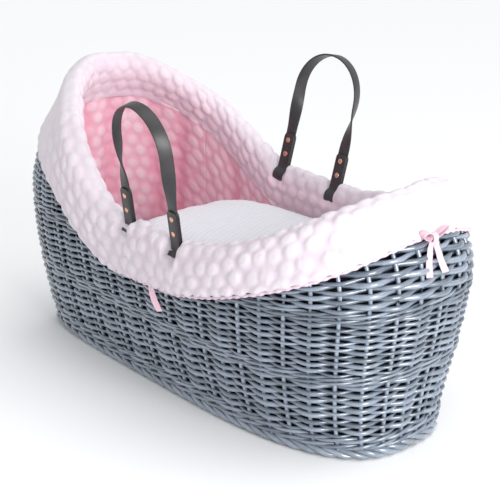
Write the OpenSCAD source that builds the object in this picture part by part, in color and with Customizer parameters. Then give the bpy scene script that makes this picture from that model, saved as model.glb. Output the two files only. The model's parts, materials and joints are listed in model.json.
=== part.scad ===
// Hooded wicker moses basket with a padded fabric dressing, a mattress, a coverlet and two
// swinging leather handles. Millimetres. Origin on the floor under the middle of the base,
// +Z up, +X towards the foot end, the hood at -X.

/* [Woven base] */
// Length of the woven base
base_length = 814; // [690:1:970]
// Width of the woven base at its middle
base_width = 290; // [245:1:345]
// How much the foot half is wider and the head half narrower, as a share
egg = 0.1; // [0:0.01:0.14]
// Squareness of the foot end's outline
foot_squareness = 2.9; // [2.2:0.1:4]
// Squareness of the head end's outline at the base
head_squareness = 5.2; // [3:0.1:6]

/* [Woven wall] */
// Thickness of the woven wall
wall = 14; // [10:0.5:18]
// How far each side leans out at its widest
side_lean = 52; // [30:1:70]
// Height at which the sides are widest
side_belly = 260; // [220:1:300]
// How far each side leans back in at the top of the hood
side_tuck = 30; // [10:1:45]
// How far the foot end leans out at its longest
foot_lean = 38; // [15:1:55]
// Height at which the foot end is longest
foot_belly = 280; // [240:1:310]
// How far the foot end leans back in at its rim
foot_tuck = 52; // [0:1:60]
// How far the hood leans in over the head end at its rim
hood_tuck = 42; // [20:1:60]
// Height at which the hood starts to lean in
hood_start = 270; // [220:1:300]

/* [Rim] */
// Height of the rim along the sides, where the handles are
rim_side = 278; // [240:1:310]
// Height of the rim at the foot end
rim_foot = 388; // [340:1:450]
// Height of the rim at the hood
rim_head = 462; // [390:1:520]
// Where the level stretch of the rim ends towards the foot
level_to_foot = 100; // [90:1:130]
// Where the level stretch of the rim ends towards the head
level_to_head = 45; // [40:1:80]
// How much the rim falls towards the foot along its straight stretch, per millimetre
rim_fall = 0.07; // [0:0.01:0.1]
// Radius of the plaited border on the rim
border_r = 8; // [6:0.5:10]
// Depth of the border's middle behind the wall's outer face
border_inset = 12; // [8:0.5:14]

/* [Rows of weaving] */
// Radius of the border that the basket stands on
foot_border_r = 7; // [5:0.5:9]
// Top of the bottom wale
bottom_wale_top = 38; // [25:1:50]
// Top of the lower weave
lower_weave_top = 132; // [100:1:160]
// Height of the middle wale and of the upper wale
wale_height = 16; // [10:1:22]
// Top of the upper weave
upper_weave_top = 236; // [205:1:238]
// Number of upright stakes
stake_count = 52; // [36:2:64]
// Radius of one stake
stake_r = 3; // [2:0.25:4]
// Gap left between one band of weaving and the next
row_gap = 0.2; // [0.1:0.05:0.5]

/* [Base board, mattress and coverlet] */
// Thickness of the wooden base board
board_thickness = 9; // [6:0.5:12]
// Thickness of the mattress
mattress_thickness = 52; // [30:1:60]
// Gap between the mattress and the lining round it
mattress_gap = 4; // [2:0.5:8]
// Height of the top of the coverlet above the floor
coverlet_top = 258; // [220:1:262]
// How far the coverlet reaches from the middle towards the head
coverlet_to_head = 160; // [100:1:220]
// Gap between the coverlet and the roll round it
coverlet_gap = 7; // [5:1:16]
// Gap between a soft piece and the piece it lies on
seat_gap = 0.3; // [0.2:0.05:0.5]

/* [Fabric dressing] */
// Thickness of the padded lining
lining_thickness = 12; // [8:0.5:14]
// Thickness of the padded roll over the rim
roll_thickness = 15; // [10:0.5:18]
// Gap between the dressing and the wicker
dressing_gap = 1.4; // [1:0.1:2]
// How far the roll hangs down outside beside the foot half
skirt_foot_side = 54; // [46:1:75]
// How far the roll hangs down outside beside the hood
skirt_hood_side = 86; // [60:1:95]
// How far the roll hangs down outside at the two ends
skirt_end = 36; // [30:1:50]
// How far the roll reaches down inside
roll_inside = 58; // [46:1:75]
// Radius of the elastic hem
hem_r = 3; // [2:0.25:4]
// Width of the ribbon of the ties
ribbon_width = 14; // [10:1:24]
// Thickness of the ribbon
ribbon_thickness = 1.2; // [0.8:0.1:2]
// Length of the side ties below the hem
tie_length = 44; // [30:1:70]
// Where the side ties hang, from the middle towards the foot
tie_x = 40; // [0:1:100]
// Radius of the knot of the bow at the foot end
knot_r = 7; // [5:0.5:9]
// Radius of each loop of the bow
bow_r = 12; // [9:0.5:15]
// Length of the bow's tails
tail_length = 58; // [40:1:70]

/* [Handles] */
// Distance between the two loops of one handle
loop_spacing = 124; // [100:1:136]
// Middle of the near handle, from the basket's middle towards the foot
near_handle_x = 32; // [0:1:45]
// Middle of the far handle, from the basket's middle towards the foot
far_handle_x = -13; // [-20:1:30]
// Height of the handle above its hinge line
handle_height = 230; // [180:1:245]
// Width of the strap
strap_width = 22; // [16:1:26]
// Thickness of the strap
strap_thickness = 3; // [2.5:0.25:4]
// Thickness of one ply of the loop tab
tab_ply = 2.4; // [1.8:0.1:3]
// How much larger in radius a loop is than the border it goes round
loop_play = 3.6; // [3:0.2:5]
// Gap between a loop and the border it hangs on
loop_seat = 0.5; // [0.4:0.1:1]
// Length of the loop tab above the hinge line
tab_height = 76; // [70:1:90]
// How far the near handle leans out at rest
near_lean = 9; // [0:1:15]
// How far the far handle leans out at rest
far_lean = 11; // [0:1:15]
// Furthest lean of a handle outwards
lean_out = 45; // [30:1:50]
// Furthest lean of a handle inwards
lean_in = 50; // [30:1:52]
// Radius of a rivet's shank
rivet_r = 2; // [1.5:0.25:2.5]
// Radius of a rivet's head
rivet_head_r = 4.5; // [3.5:0.25:5.5]

/* [Hidden] */

rim_roundness = 2.25;
stations = stake_count;
station_step = 360 / stations;
panel_gap = 0.3;
side_start = station_step * round(62 / station_step);
side_end = 180 - side_start;
lining_split = station_step * round(55 / station_step);
skirt_from = 120;
skirt_to = 150;
lining_foot = board_thickness + seat_gap;
mattress_top = lining_foot + mattress_thickness;
packing_start = upper_weave_top + wale_height;
lining_inset = wall + dressing_gap;
lining_face = lining_inset + lining_thickness;
roll_face = wall + dressing_gap + roll_thickness;
rim_cover = border_r + 2 * dressing_gap;
loop_inner_r = border_r + loop_play;
loop_outer_r = loop_inner_r + tab_ply;
slot_r = loop_outer_r + loop_play + 0.6;
slot_width = strap_width + 6;
slot_depth = 70;
ply_clearance = 0.2;
tab_half = strap_thickness / 2 + ply_clearance + tab_ply;
rivet_head_t = 1.4;
rivet_clearance = 0.05;
tail_spread = 14;
strap_bulge = 2;
strap_lean = 70;
rivet_low = 38;
rivet_high = 63;
grey = "LightSlateGray";
blush = "MistyRose";
pink = "LightPink";
leather = "DimGray";

// ---- shape of the woven wall ----

function clamp01(v) = max(0, min(1, v));
function ease(v) = let(u = clamp01(v)) u * u * (3 - 2 * u);

// Half width of the wall's outer face at a height
function half_width(z) = base_width / 2
  + side_lean * sin(90 * clamp01(z / side_belly))
  - side_tuck * pow(max(0, z - side_belly) / (rim_head - side_belly), 2);

// How far the outer face reaches towards the foot and towards the head at a height
function foot_reach(z) = base_length / 2 + foot_lean * ease(z / foot_belly)
  - foot_tuck * pow(max(0, z - foot_belly) / (rim_foot - foot_belly), 2);
function head_reach(z) = base_length / 2
  - hood_tuck * pow(max(0, z - hood_start) / (rim_head - hood_start), 2);

// Both ends are squarer at the base than at the rim
function rounding(z, squareness, rim) =
  squareness - (squareness - rim_roundness) * ease((z - side_belly) / (rim - side_belly));
function foot_power(z) = rounding(z, foot_squareness, rim_foot);
function head_power(z) = rounding(z, head_squareness, rim_head);

// A rounded outline: the point at angle a, with its own reach to each side
function outline(a, to_foot, to_head, half_w, foot_n, head_n, taper) =
  let(n = cos(a) > 0 ? foot_n : head_n,
      k = pow(pow(abs(cos(a)), n) + pow(abs(sin(a)), n), -1 / n),
      u = k * cos(a))
  [u * (u > 0 ? to_foot : to_head), k * sin(a) * half_w * (1 + taper * u)];

// Point of the wall at height z and angle a, inset behind the outer face
function wall_point(z, a, inset) =
  let(p = outline(a, foot_reach(z) - inset, head_reach(z) - inset, half_width(z) - inset,
                  foot_power(z), head_power(z), egg))
  [p.x, p.y, z];

// Height of the rim at a distance x along the basket
function rim_height(x) =
  let(u = clamp01((x - level_to_foot) / (base_length / 2 + foot_lean - foot_tuck - level_to_foot)),
      v = clamp01((-level_to_head - x) / (base_length / 2 - hood_tuck - level_to_head)))
  rim_side - rim_fall * max(-level_to_head, min(level_to_foot, x))
  + (rim_foot - rim_side + rim_fall * level_to_foot) * u * (0.35 + 0.65 * u)
  + (rim_head - rim_side - rim_fall * level_to_head) * ease(v);

// Height of the rim at angle a, where the wall and the rim line meet
function rim_at(a, z = 330, left = 8) =
  left == 0 ? z : rim_at(a, rim_height(wall_point(z, a, border_inset).x), left - 1);

// Share of the full width at angle a, 1 along the sides and 0 at the ends
function sideness(a) = abs(outline(a, 1, 1, 1, rim_roundness, rim_roundness, 0).y);

// How far the roll hangs down outside: least at the two ends, most beside the hood
function skirt_along(x) =
  skirt_foot_side + (skirt_hood_side - skirt_foot_side)
    * clamp01((skirt_from - x) / (skirt_from + skirt_to));
function skirt_at(a) =
  let(x = wall_point(rim_side, a, 0).x)
  skirt_end + (skirt_along(x) - skirt_end) * pow(sideness(a), 1.5);

// ---- solids swept along a list of sections ----

// Joins sections of equal point count, each a closed loop, into one solid
module sweep(sections, ring = true) {
  n = len(sections);
  m = len(sections[0]);
  last = ring ? n - 1 : n - 2;
  points = [for (s = sections) each s];
  sides = [for (i = [0:last], j = [0:m - 1])
    let(a = i * m, b = ((i + 1) % n) * m, k = (j + 1) % m)
    each [[a + j, a + k, b + k], [a + j, b + k, b + j]]];
  caps = ring ? [] : [for (end = [0, (n - 1) * m], j = [0:m / 2 - 2])
    let(q = end == 0 ? [j + 1, j, m - 1 - j, m - 2 - j] : [j, j + 1, m - 2 - j, m - 1 - j])
    each [[end + q[0], end + q[1], end + q[2]], [end + q[0], end + q[2], end + q[3]]]];
  polyhedron(points, concat(sides, caps), convexity = 10);
}

function around() = [for (i = [0:stations - 1]) i * station_step];
function between(from, to) =
  concat([from], [for (i = [ceil(from / station_step):floor(to / station_step)])
                    i * station_step], [to]);

// Section of a band of weaving or padding between two heights and two insets
function band_section(a, low, high, outer, inner, levels) =
  concat([for (j = [0:levels]) wall_point(low + (high - low) * j / levels, a, outer)],
         [for (j = [levels:-1:0]) wall_point(low + (high - low) * j / levels, a, inner)]);

module band(low, high, levels) {
  sweep([for (a = around()) band_section(a, low, high - row_gap, 0, wall, levels)]);
}

// A strip of the wall from one angle to another, up to a margin below the rim
module strip_to_rim(from, to, low, margin, outer, inner, levels) {
  sweep([for (a = between(from, to))
    band_section(a, low, rim_at(a) - margin, outer, inner, levels)], ring = false);
}

// Round section of a cord that follows the wall, square to the line of the cord
function cord_section(a, z, inset, r, sides) =
  let(p = wall_point(z, a, inset),
      f = wall_point(z, a + 1, inset) - wall_point(z, a - 1, inset),
      out = atan2(-f.x, f.y))
  [for (j = [0:sides - 1])
    let(q = 360 * j / sides)
    [p.x + r * sin(q) * cos(out), p.y + r * sin(q) * sin(out), p.z - r * cos(q)]];

// ---- wicker ----

module base_board() {
  color("Tan") linear_extrude(board_thickness)
    polygon([for (a = around()) let(p = wall_point(0, a, 2 * foot_border_r + 0.6)) [p.x, p.y]]);
}

module foot_border() {
  color(grey)
    sweep([for (a = around()) cord_section(a, foot_border_r, foot_border_r, foot_border_r, 8)]);
}

module bottom_wale() {
  color(grey) band(2 * foot_border_r, bottom_wale_top, 1);
}

module lower_weave() {
  color(grey) band(bottom_wale_top, lower_weave_top, 3);
}

module middle_wale() {
  color(grey) band(lower_weave_top, lower_weave_top + wale_height, 1);
}

module upper_weave() {
  color(grey) band(lower_weave_top + wale_height, upper_weave_top, 3);
}

module upper_wale() {
  color(grey) band(upper_weave_top, packing_start, 1);
}

module near_side_rows() {
  color(grey) difference() {
    strip_to_rim(360 - side_end, 360 - side_start, packing_start, border_r + 1, 0, wall, 4);
    handle_frame(near_handle_x, -1) loop_slots();
  }
}

module far_side_rows() {
  color(grey) difference() {
    strip_to_rim(side_start, side_end, packing_start, border_r + 1, 0, wall, 4);
    handle_frame(far_handle_x, 1) loop_slots();
  }
}

module foot_packing() {
  color(grey) strip_to_rim(panel_gap - side_start, side_start - panel_gap, packing_start,
                           border_r + 1, 0, wall, 4);
}

module hood_weave() {
  color(grey) strip_to_rim(side_end + panel_gap, 360 - side_end - panel_gap, packing_start,
                           border_r + 1, 0, wall, 8);
}

module rim_border() {
  color(grey)
    sweep([for (a = around()) cord_section(a, rim_at(a), border_inset, border_r - 0.1, 8)]);
}

// One upright stake at angle a, from the foot border into the rim border
module stake(a) {
  top = rim_at(a);
  sweep([for (j = [0:6])
    let(p = wall_point(foot_border_r + (top - foot_border_r) * j / 6, a, wall / 2))
    [for (q = [0:60:300]) p + [stake_r * cos(q), stake_r * sin(q), 0]]], ring = false);
}

module stakes() {
  color(grey) difference() {
    for (a = around()) stake(a);
    handle_frame(near_handle_x, -1) loop_slots();
    handle_frame(far_handle_x, 1) loop_slots();
  }
}

// ---- bedding ----

module mattress() {
  rings = [[0, 6], [8, 0], [mattress_thickness - 8, 0], [mattress_thickness, 6]];
  color("White") sweep([for (r = rings)
    [for (a = around())
      let(p = wall_point(lining_foot, a, lining_face + mattress_gap + r[1]))
      [p.x, p.y, lining_foot + r[0]]]], ring = false);
}

// Clear reach inside the dressing at a height, below the roll or within it
function coverlet_reach(z) =
  min(foot_reach(z) - lining_face - mattress_gap, foot_reach(rim_foot) - roll_face - coverlet_gap);
function coverlet_half(z) =
  min(half_width(z) - lining_face - mattress_gap, half_width(rim_side) - roll_face - coverlet_gap);

module coverlet() {
  low = mattress_top + seat_gap;
  rings = [[low, 10], [low + 10, 0], [low + 50, 0], [low + 95, 0], [coverlet_top - 22, 0],
           [coverlet_top - 6, 12], [coverlet_top, 40]];
  color("GhostWhite") sweep([for (r = rings)
    [for (a = around())
      let(p = outline(a, coverlet_reach(r[0]) - r[1], coverlet_to_head - r[1],
                      coverlet_half(r[0]) - r[1], foot_squareness, foot_squareness, egg))
      [p.x, p.y, r[0]]]], ring = false);
}

// ---- fabric dressing ----

module lining(from, to) {
  color(pink) strip_to_rim(from + panel_gap, to - panel_gap, lining_foot, roll_inside + 2,
                           lining_inset, lining_face, 6);
}

module head_lining() {
  lining(180 - lining_split, 180 + lining_split);
}

module near_lining() {
  lining(180 + lining_split, 360 - lining_split);
}

module far_lining() {
  lining(lining_split, 180 - lining_split);
}

module foot_lining() {
  lining(-lining_split, lining_split);
}

// Section of the roll: down the outside, over the border and down the inside. Each entry is
// an inset and a height; entries above the wall take the wall's place at the rim
function roll_section(a) =
  let(rim = rim_at(a), hem = rim - skirt_at(a), g = dressing_gap, t = roll_thickness,
      lining_low = rim - roll_inside, brow = rim - border_r, c = rim_cover, b = border_inset)
  concat(
    [for (q = [[-g, hem], [-g - 0.55 * t, hem + 2], [-g - t, hem + 16], [-g - t, rim - 4]])
      wall_point(q[1], a, q[0])],
    [for (q = [[-g - 0.55 * t, c + 0.5 * t], [b - 6, c + t], [b + 6, c + t],
               [roll_face - 0.2 * t, c + 0.4 * t], [roll_face, -10]])
      let(p = wall_point(rim, a, q[0])) [p.x, p.y, rim + q[1]]],
    [for (q = [[roll_face, lining_low + 8], [roll_face - 0.5 * t, lining_low],
               [lining_inset, lining_low + 4], [lining_inset, brow - 12]])
      wall_point(q[1], a, q[0])],
    [for (q = [[b + c, -6], [b + c, 5], [b, c], [b - c, 5]])
      let(p = wall_point(rim, a, q[0])) [p.x, p.y, rim + q[1]]],
    [for (j = [0:4]) wall_point(brow + (hem + 1 - brow) * j / 5, a, -g)]);

module rim_roll() {
  color(blush) difference() {
    sweep([for (a = around()) roll_section(a)]);
    handle_frame(near_handle_x, -1) swing_slots();
    handle_frame(far_handle_x, 1) swing_slots();
  }
}

module elastic_hem() {
  color(pink) sweep([for (a = around())
    cord_section(a, rim_at(a) - skirt_at(a) - hem_r - 0.6, -hem_r - 1.2, hem_r, 6)]);
}

// Point just outside the wall at distance x along one side
function side_point(x, z, inset, side) =
  let(u = x > 0 ? x / (foot_reach(z) - inset) : x / (head_reach(z) - inset),
      n = x > 0 ? foot_power(z) : head_power(z))
  [x, side * (half_width(z) - inset) * (1 + egg * u) * pow(1 - pow(abs(u), n), 1 / n), z];

// A ribbon that hangs from the hem at one side
module side_tie(side) {
  hem = rim_height(tie_x) - skirt_along(tie_x) - 2 * hem_r - 1;
  color(pink) sweep([for (j = [0:4])
    let(z = hem - tie_length * j / 4, x = tie_x + 4 * j)
    concat([for (e = [-1, 1]) side_point(x + e * ribbon_width / 2, z, -0.6, side)],
           [for (e = [1, -1])
             side_point(x + e * ribbon_width / 2, z, -0.6 - ribbon_thickness, side)])],
    ring = false);
}

module near_tie() {
  mirror([0, 1, 0]) side_tie(1);
}

module far_tie() {
  side_tie(1);
}

// A bow on the hem at the foot end: a knot, two loops and two tails
module foot_bow() {
  z = rim_foot - skirt_end - 2 * hem_r;
  x = foot_reach(z) + 2 * hem_r + 2.5;
  tilt = max(0, atan((foot_reach(z - tail_length) + 5 - x - knot_r) / tail_length));
  color(pink) translate([x + knot_r, 0, z]) {
    sphere(r = knot_r, $fn = 24);
    for (side = [-1, 1]) {
      translate([0, side * (bow_r + 3), 6]) rotate([0, 90, 0]) difference() {
        cylinder(h = ribbon_width * 0.6, r = bow_r, center = true, $fn = 32);
        cylinder(h = ribbon_width, r = bow_r - ribbon_thickness, center = true, $fn = 32);
      }
      rotate([0, -tilt, 0]) rotate([side * tail_spread, 0, 0])
        translate([-ribbon_thickness / 2, -ribbon_width / 2, -tail_length])
          cube([ribbon_thickness, ribbon_width, tail_length]);
    }
  }
}

// ---- handles ----

// Point of the border's middle line at distance x along one side
border_line = [for (i = [1:stations / 2 - 1])
  let(a = i * station_step) wall_point(rim_at(a), a, border_inset)];
function border_point(x, side) =
  [x, side * lookup(x, [for (p = border_line) [p.x, p.y]]),
   lookup(x, [for (p = border_line) [p.x, p.z]])];

// How far the border rises above the hinge line within the width of the loops
function loop_rise(middle, side) =
  let(h = loop_spacing / 2, a = border_point(middle - h, side), b = border_point(middle + h, side))
  max([for (e = [-h, h], w = [-strap_width / 2, strap_width / 2])
    border_point(middle + e + w, side).z - a.z - (b.z - a.z) * (e + w + h) / (2 * h)]);

// Places children on the hinge line of a handle: x along the line, z up, y inwards for the near
// side and outwards for the far side
module handle_frame(middle, side) {
  a = border_point(middle - loop_spacing / 2, side);
  b = border_point(middle + loop_spacing / 2, side);
  d = b - a;
  translate((a + b) / 2) rotate([0, -asin(d.z / norm(d)), atan2(d.y, d.x)]) children();
}

module at_loops() {
  for (side = [-1, 1]) translate([side * loop_spacing / 2, 0, 0]) children();
}

// Extrudes an outline drawn across the strap (x is across the hinge line, y is up)
module along_hinge(width) {
  rotate([90, 0, 90]) linear_extrude(width, center = true) children();
}

module loop_slots() {
  at_loops() along_hinge(slot_width) circle(r = slot_r, $fn = 40);
}

// Room in the roll for a loop tab to swing from its furthest lean in to its furthest lean out
module swing_slots() {
  half = tab_half + rivet_head_t + 1.2;
  at_loops() along_hinge(slot_width) {
    circle(r = slot_r, $fn = 40);
    for (s = [-1, 1])
      polygon([[0, -half], [s * half / cos(lean_in), 0],
               [s * (slot_depth * sin(lean_in) + half / cos(lean_in)), slot_depth * cos(lean_in)],
               [0, 1.6 * slot_depth]]);
  }
}

// Middle line of the strap from one foot to the other, as [x, z, twist]
leg_top = handle_height - loop_spacing / 2 - 6;
function strap_leg(side, steps) =
  [for (j = steps) let(u = j / 5)
    [side * (loop_spacing / 2 + strap_bulge * ease(u)),
     tab_height + 4 + (leg_top - tab_height - 4) * u, strap_lean * ease(u)]];
function strap_path() =
  let(h = loop_spacing / 2, r = h + strap_bulge)
  concat([[-h, loop_outer_r, 0], [-h, rivet_high + 12, 0]],
         strap_leg(-1, [1:5]),
         [for (q = [15:15:165]) [-r * cos(q), leg_top + (handle_height - leg_top) * sin(q),
                                 90 - (90 - strap_lean) * abs(q - 90) / 90]],
         strap_leg(1, [5:-1:1]),
         [[h, rivet_high + 12, 0], [h, loop_outer_r, 0]]);

// Twist 0 lays the strap's width along the hinge line, 90 lays it across
function strap_section(path, i) =
  let(n = len(path), p = path[i], f = path[min(n - 1, i + 1)] - path[max(0, i - 1)],
      l = norm([f.x, f.y]), tx = f.x / l, tz = f.y / l, w = strap_width / 2,
      t = strap_thickness / 2, cw = cos(p[2]), sw = sin(p[2]),
      side = [tz * cw, sw, -tx * cw], face = [tz * sw, -cw, -tx * sw])
  [for (e = [[-1, -1], [1, -1], [1, 1], [-1, 1]])
    [p.x, 0, p.y] + e.x * w * side + e.y * t * face];

module strap() {
  path = strap_path();
  color(leather) difference() {
    sweep([for (i = [0:len(path) - 1]) strap_section(path, i)], ring = false);
    at_loops() rivet_holes();
  }
}

module rivet_holes() {
  for (z = [rivet_low, rivet_high]) translate([0, 0, z]) rotate([90, 0, 0])
    cylinder(h = 40, r = rivet_r + rivet_clearance, center = true, $fn = 24);
}

// A short strap folded round the border, with the handle's end between its two plies
module tab(drop) {
  inner = strap_thickness / 2 + ply_clearance;
  difference() {
    along_hinge(strap_width) difference() {
      union() {
        translate([0, -drop]) circle(r = loop_outer_r, $fn = 48);
        translate([-tab_half, 0]) square([2 * tab_half, tab_height]);
      }
      translate([0, -drop]) circle(r = loop_inner_r, $fn = 48);
      translate([-inner, 0]) square([2 * inner, tab_height + 1]);
    }
    rivet_holes();
  }
}

module rivet() {
  rotate([90, 0, 0]) {
    cylinder(h = 2 * tab_half + rivet_head_t, r = rivet_r, center = true, $fn = 24);
    for (s = [-1, 1]) translate([0, 0, s * (tab_half + rivet_head_t / 2 + 0.05)])
      cylinder(h = rivet_head_t, r = rivet_head_r, center = true, $fn = 32);
  }
}

module handle_at(middle, side, lean) {
  handle_frame(middle, side) rotate([-side * lean, 0, 0]) children();
}

module near_handle_strap() {
  handle_at(near_handle_x, -1, near_lean) mirror([0, 1, 0]) strap();
}

module near_handle_tabs() {
  color(leather) handle_at(near_handle_x, -1, near_lean) at_loops()
    tab(loop_play - loop_seat - loop_rise(near_handle_x, -1));
}

module near_handle_rivets() {
  color("Peru") handle_at(near_handle_x, -1, near_lean) at_loops()
    for (z = [rivet_low, rivet_high]) translate([0, 0, z]) rivet();
}

module far_handle_strap() {
  handle_at(far_handle_x, 1, far_lean) strap();
}

module far_handle_tabs() {
  color(leather) handle_at(far_handle_x, 1, far_lean) at_loops()
    tab(loop_play - loop_seat - loop_rise(far_handle_x, 1));
}

module far_handle_rivets() {
  color("Peru") handle_at(far_handle_x, 1, far_lean) at_loops()
    for (z = [rivet_low, rivet_high]) translate([0, 0, z]) rivet();
}

base_board();
foot_border();
bottom_wale();
lower_weave();
middle_wale();
upper_weave();
upper_wale();
near_side_rows();
far_side_rows();
foot_packing();
hood_weave();
rim_border();
stakes();
mattress();
coverlet();
head_lining();
near_lining();
far_lining();
foot_lining();
rim_roll();
elastic_hem();
near_tie();
far_tie();
foot_bow();
near_handle_strap();
near_handle_tabs();
near_handle_rivets();
far_handle_strap();
far_handle_tabs();
far_handle_rivets();
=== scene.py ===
"""Looks of a hooded wicker moses basket with a plush dressing, a coverlet and two leather handles."""

import json
import math

import bmesh
import bpy
import numpy as np
from mathutils import Matrix, Vector


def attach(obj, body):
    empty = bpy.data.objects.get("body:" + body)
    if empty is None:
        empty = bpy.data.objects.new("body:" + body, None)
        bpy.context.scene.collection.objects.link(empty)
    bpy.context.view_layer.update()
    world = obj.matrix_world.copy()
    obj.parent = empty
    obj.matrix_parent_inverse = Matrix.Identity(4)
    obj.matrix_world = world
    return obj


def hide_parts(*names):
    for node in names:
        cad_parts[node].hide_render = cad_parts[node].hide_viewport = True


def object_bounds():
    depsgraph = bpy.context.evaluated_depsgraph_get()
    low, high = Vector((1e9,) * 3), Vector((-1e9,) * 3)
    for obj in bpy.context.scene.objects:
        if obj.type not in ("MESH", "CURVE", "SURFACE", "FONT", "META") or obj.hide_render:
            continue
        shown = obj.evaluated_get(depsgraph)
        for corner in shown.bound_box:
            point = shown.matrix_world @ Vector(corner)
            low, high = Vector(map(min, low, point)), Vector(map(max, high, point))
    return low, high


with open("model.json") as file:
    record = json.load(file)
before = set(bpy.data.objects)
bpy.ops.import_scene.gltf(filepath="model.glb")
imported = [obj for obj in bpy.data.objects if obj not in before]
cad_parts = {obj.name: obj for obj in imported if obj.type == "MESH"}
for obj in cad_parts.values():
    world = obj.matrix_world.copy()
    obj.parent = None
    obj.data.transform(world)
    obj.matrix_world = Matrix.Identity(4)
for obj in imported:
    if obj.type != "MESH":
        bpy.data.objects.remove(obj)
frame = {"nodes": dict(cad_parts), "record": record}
cad_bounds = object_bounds()

# ---------------------------------------------------------------- sizes, in millimetres

MM = 0.001
BASE_LENGTH = 814
BASE_WIDTH = 290
EGG = 0.1
FOOT_SQUARENESS = 2.9
HEAD_SQUARENESS = 5.2
RIM_ROUNDNESS = 2.25
WALL = 14
SIDE_LEAN = 52
SIDE_BELLY = 260
SIDE_TUCK = 30
FOOT_LEAN = 38
FOOT_BELLY = 280
FOOT_TUCK = 52
HOOD_TUCK = 42
HOOD_START = 270
RIM_SIDE = 278
RIM_FOOT = 388
RIM_HEAD = 462
LEVEL_TO_FOOT = 100
LEVEL_TO_HEAD = 45
RIM_FALL = 0.07
BORDER_R = 8
BORDER_INSET = 12
FOOT_BORDER_R = 7
BOTTOM_WALE_TOP = 38
LOWER_WEAVE_TOP = 132
WALE_HEIGHT = 16
UPPER_WEAVE_TOP = 236
PACKING_START = UPPER_WEAVE_TOP + WALE_HEIGHT
STAKES = 52
CLOTH_GAP = 1.4
LINING_INSET = WALL + CLOTH_GAP
LINING_FACE = LINING_INSET + 12
ROLL_THICKNESS = 15
ROLL_FACE = WALL + CLOTH_GAP + ROLL_THICKNESS
RIM_COVER = BORDER_R + 2.8
ROLL_INSIDE = 58
SKIRT_END = 36
SKIRT_FOOT_SIDE = 54
SKIRT_HOOD_SIDE = 86
LINING_FOOT = 9.3
SIDE_START = 62.31
LINING_SPLIT = 55.38
COVERLET_TOP = 258
MATTRESS_TOP = 61.3
LOOP_SPACING = 124
HANDLE_HEIGHT = 230
STRAP_WIDTH = 22
STRAP_THICKNESS = 3
TAB_PLY = 2.4
TAB_HEIGHT = 76
RIVET_LOW = 38
RIVET_HIGH = 63

chance = np.random.default_rng(7)


# ---------------------------------------------------------------- shape of the basket

def clamp01(v):
    return np.clip(v, 0, 1)


def ease(v):
    u = clamp01(v)
    return u * u * (3 - 2 * u)


def half_width(z):
    over = np.maximum(0, z - SIDE_BELLY) / (RIM_HEAD - SIDE_BELLY)
    return BASE_WIDTH / 2 + SIDE_LEAN * np.sin(math.pi / 2 * clamp01(z / SIDE_BELLY)) - SIDE_TUCK * over**2


def foot_reach(z):
    over = np.maximum(0, z - FOOT_BELLY) / (RIM_FOOT - FOOT_BELLY)
    return BASE_LENGTH / 2 + FOOT_LEAN * ease(z / FOOT_BELLY) - FOOT_TUCK * over**2


def head_reach(z):
    over = np.maximum(0, z - HOOD_START) / (RIM_HEAD - HOOD_START)
    return BASE_LENGTH / 2 - HOOD_TUCK * over**2


def rounding(z, squareness, rim):
    return squareness - (squareness - RIM_ROUNDNESS) * ease((z - SIDE_BELLY) / (rim - SIDE_BELLY))


def outline(a, to_foot, to_head, half_w, foot_n, head_n, taper):
    """Point of a rounded outline at angle a, in radians."""
    c = np.cos(a)
    s = np.sin(a)
    n = np.where(c > 0, foot_n, head_n)
    k = (np.abs(c) ** n + np.abs(s) ** n) ** (-1 / n)
    u = k * c
    return u * np.where(u > 0, to_foot, to_head), k * s * half_w * (1 + taper * u)


def wall_point(z, a, inset):
    """Point of the woven wall at height z and angle a, inset behind its outer face."""
    z, a, inset = np.broadcast_arrays(z, a, inset)
    x, y = outline(
        a,
        foot_reach(z) - inset,
        head_reach(z) - inset,
        half_width(z) - inset,
        rounding(z, FOOT_SQUARENESS, RIM_FOOT),
        rounding(z, HEAD_SQUARENESS, RIM_HEAD),
        EGG,
    )
    return np.stack([x, y, z], axis=-1)


def rim_height(x):
    to_foot = BASE_LENGTH / 2 + FOOT_LEAN - FOOT_TUCK - LEVEL_TO_FOOT
    to_head = BASE_LENGTH / 2 - HOOD_TUCK - LEVEL_TO_HEAD
    u = clamp01((x - LEVEL_TO_FOOT) / to_foot)
    v = clamp01((-LEVEL_TO_HEAD - x) / to_head)
    level = RIM_SIDE - RIM_FALL * np.clip(x, -LEVEL_TO_HEAD, LEVEL_TO_FOOT)
    foot_rise = (RIM_FOOT - RIM_SIDE + RIM_FALL * LEVEL_TO_FOOT) * u * (0.35 + 0.65 * u)
    head_rise = (RIM_HEAD - RIM_SIDE - RIM_FALL * LEVEL_TO_HEAD) * ease(v)
    return level + foot_rise + head_rise


def rim_at(a):
    z = np.full(np.shape(a), 330.0)
    for _ in range(14):
        z = rim_height(wall_point(z, a, BORDER_INSET)[..., 0])
    return z


def sideness(a):
    return np.abs(outline(a, 1, 1, 1, RIM_ROUNDNESS, RIM_ROUNDNESS, 0)[1])


def skirt_at(a):
    x = wall_point(RIM_SIDE, a, 0)[..., 0]
    along = SKIRT_FOOT_SIDE + (SKIRT_HOOD_SIDE - SKIRT_FOOT_SIDE) * clamp01((120 - x) / 270)
    return SKIRT_END + (along - SKIRT_END) * sideness(a) ** 1.5


# Angle of each place round the wall, counted in stakes at even distances
fine = np.linspace(0, 2 * math.pi, 4001)
fine_steps = np.linalg.norm(np.diff(wall_point(130.0, fine, WALL / 2), axis=0), axis=1)
fine_run = np.concatenate([[0], np.cumsum(fine_steps)])
FIRST_STAKE = 0.5


def angle_of(place):
    """Angle at a place counted in stakes; it may run past a full turn."""
    place = np.asarray(place, dtype=float) + FIRST_STAKE
    turns = np.floor(place / STAKES)
    return np.interp((place / STAKES - turns) * fine_run[-1], fine_run, fine) + turns * 2 * math.pi


# ---------------------------------------------------------------- mesh helpers

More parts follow.
